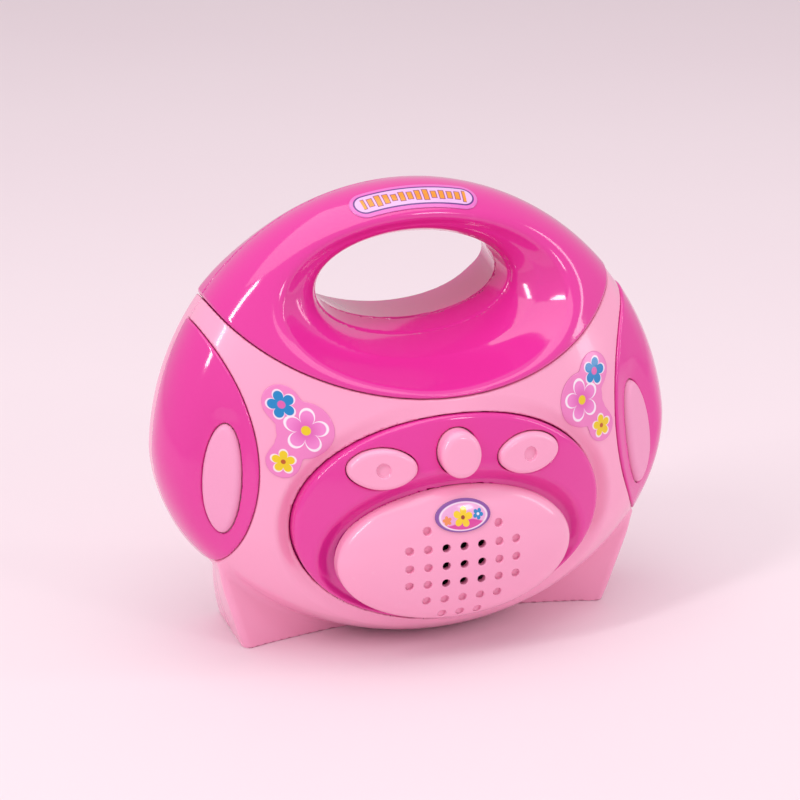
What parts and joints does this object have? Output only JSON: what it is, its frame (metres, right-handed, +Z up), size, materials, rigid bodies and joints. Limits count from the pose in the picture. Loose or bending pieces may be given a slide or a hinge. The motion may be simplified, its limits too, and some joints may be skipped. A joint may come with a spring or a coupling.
{
  "type": "toy portable recorder",
  "caption": "Round-bodied toy portable recorder with a loop carry handle, three push-buttons, a domed speaker grille, side grips and a rear battery hatch on a flat foot.",
  "frame": {"origin": "centre of the bounding box's footprint on the table, under the foot", "axes": "+Z up; -Y is the front with the buttons and the grille; +X runs left to right seen from the front, across the long way of the handle"},
  "size_m": [0.157, 0.0761, 0.1299],
  "materials": {
    "pale_pink": "glossy moulded ABS, pale pink",
    "magenta": "high-gloss moulded ABS, magenta",
    "soft_pink": "fine-grained soft pink plastic",
    "handle_print": "printed film, lavender with a purple outline",
    "flower_print": "clear pink film printed with flowers",
    "badge_print": "domed printed badge, purple ring with flowers",
    "plated_steel": "bright zinc-plated steel",
    "spring_steel": "drawn spring wire",
    "speaker_basket": "pressed steel basket, dull plated",
    "speaker_paper": "black pressed paper cone",
    "speaker_core": "sintered ferrite magnet with steel cap",
    "circuit_board": "green solder-masked paper laminate",
    "black_plastic": "black moulded plastic and potting resin",
    "capacitor_sleeve": "dark blue shrink sleeve",
    "resistor_lacquer": "tan lacquer",
    "battery_wrap": "plain blue cell wrap",
    "red_lead": "red PVC insulation",
    "black_lead": "black PVC insulation"
  },
  "bodies": {
    "case": {"front_shell": "pale_pink", "rear_shell": "pale_pink", "handle_front": "magenta", "handle_rear": "magenta", "side_panel_left": "magenta", "side_panel_right": "magenta", "side_insert_left": "soft_pink", "side_insert_right": "soft_pink", "front_panel": "magenta", "speaker_grille": "pale_pink", "button_springs": "spring_steel", "handle_label": "handle_print", "flower_sticker_left": "flower_print", "flower_sticker_right": "flower_print", "speaker_badge": "badge_print", "speaker_frame": "speaker_basket", "speaker_cone": "speaker_paper", "speaker_magnet": "speaker_core", "speaker_screws": "plated_steel", "main_board": "circuit_board", "tact_switches": "black_plastic", "chip_cover": "black_plastic", "board_capacitor": "capacitor_sleeve", "board_resistors": "resistor_lacquer", "board_screws": "plated_steel", "battery_lower": "battery_wrap", "battery_upper": "battery_wrap", "contact_springs": "spring_steel", "contact_plates": "plated_steel", "case_screws": "plated_steel", "handle_screws": "plated_steel", "speaker_leads": "red_lead", "battery_leads": "black_lead"},
    "left_key": {"button_left": "pale_pink"},
    "centre_key": {"button_centre": "pale_pink"},
    "right_key": {"button_right": "pale_pink"},
    "battery_hatch": {"battery_cover": "pale_pink", "cover_screws": "plated_steel"}
  },
  "joints": [
    {"name": "left_key_press", "type": "slide", "parent": "case", "child": "left_key", "axis": [0, 1, 0], "range_m": [0, 0.0015], "stiffness_N_per_m": 400, "springref_m": -0.0008},
    {"name": "centre_key_press", "type": "slide", "parent": "case", "child": "centre_key", "axis": [0, 1, 0], "range_m": [0, 0.0025], "stiffness_N_per_m": 300, "springref_m": -0.001},
    {"name": "right_key_press", "type": "slide", "parent": "case", "child": "right_key", "axis": [0, 1, 0], "range_m": [0, 0.0015], "stiffness_N_per_m": 400, "springref_m": -0.0008},
    {"name": "hatch_lift", "type": "slide", "parent": "case", "child": "battery_hatch", "axis": [0, 1, 0], "range_m": [0, 0.03]}
  ]
}
